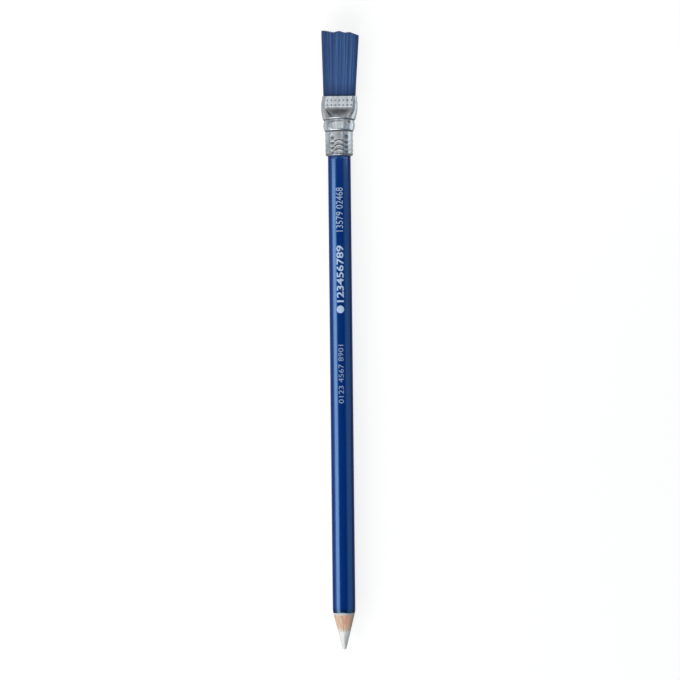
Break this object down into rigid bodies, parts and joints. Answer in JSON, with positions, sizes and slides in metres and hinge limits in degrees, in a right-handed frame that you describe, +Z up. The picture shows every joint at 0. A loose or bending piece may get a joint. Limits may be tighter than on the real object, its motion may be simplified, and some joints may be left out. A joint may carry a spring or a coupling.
{
  "type": "pencil eraser stick",
  "caption": "Round wood-cased eraser pencil: a sharpened rubber core in a lacquered barrel, with a crimped metal ferrule and a flat brush at the other end.",
  "frame": {"origin": "on the table, under the middle of the lying pencil's box", "axes": "+Y along the pencil towards the brush, point towards -Y; +X across the wide side of the brush; +Z up from the table"},
  "size_m": [0.0128, 0.2037, 0.0092],
  "materials": {
    "wood": "bare light wood, cut by a sharpener",
    "glue": "hardened wood glue",
    "eraser": "pale grey, smooth, slightly worn",
    "primer": "pale undercoat",
    "lacquer": "dark blue gloss lacquer",
    "ferrule_metal": "bright, lightly brushed and crimped",
    "cement": "hardened cement",
    "resin": "hardened resin",
    "bristle": "blue nylon bristles"
  },
  "bodies": {
    "root": {"slat_left": "wood", "slat_right": "wood", "slat_glue": "glue", "eraser_core": "eraser", "primer_coat": "primer", "lacquer_coat": "lacquer", "ferrule": "ferrule_metal", "ferrule_cement": "cement", "root_resin": "resin", "bristle_tuft": "bristle"}
  },
  "joints": []
}
